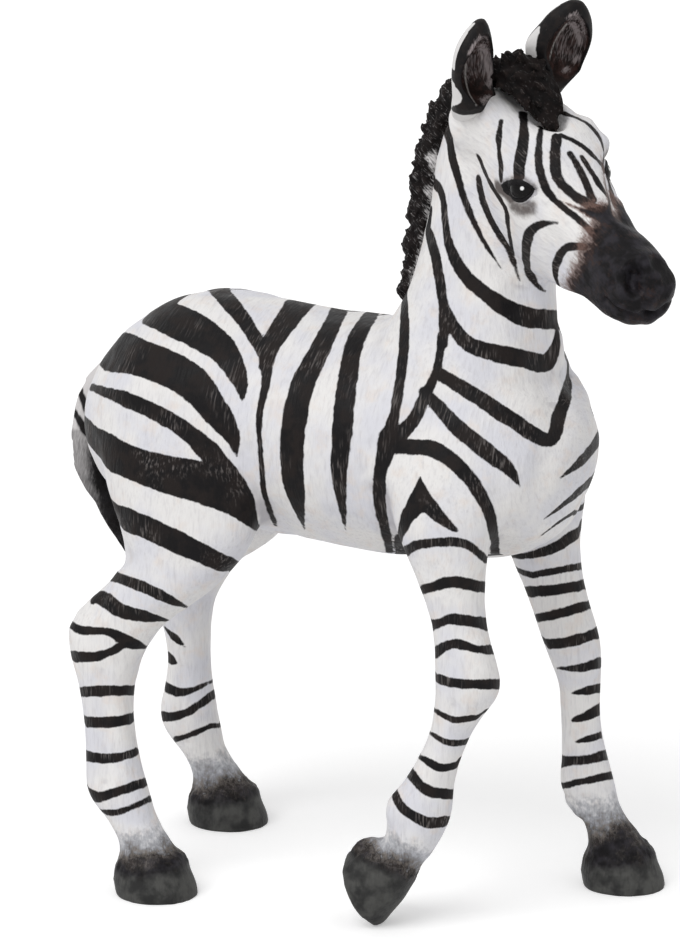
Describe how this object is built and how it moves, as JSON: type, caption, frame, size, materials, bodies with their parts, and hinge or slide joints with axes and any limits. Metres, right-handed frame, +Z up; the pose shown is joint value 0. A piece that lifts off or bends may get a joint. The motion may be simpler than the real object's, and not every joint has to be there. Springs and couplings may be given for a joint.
{
  "type": "toy zebra foal figure",
  "caption": "Moulded toy zebra foal that stands with one forefoot lifted and its head turned to its right.",
  "frame": {"origin": "centre of the bounding box in plan, on the ground under the hooves", "axes": "+Z up, +X along the trunk towards the chest, +Y to the animal's left"},
  "size_m": [0.0604, 0.0276, 0.0806],
  "materials": {
    "painted_white": "hand-painted soft vinyl, satin",
    "painted_black": "hand-painted soft vinyl, matt",
    "painted_grey": "hand-painted soft vinyl, matt"
  },
  "bodies": {
    "root": {"torso": "painted_white", "neck": "painted_white", "head": "painted_white", "right_foreleg": "painted_white", "left_foreleg": "painted_white", "right_hindleg": "painted_white", "left_hindleg": "painted_white", "mane": "painted_black", "forelock": "painted_black", "right_ear": "painted_black", "left_ear": "painted_black", "tail": "painted_grey"}
  },
  "joints": []
}
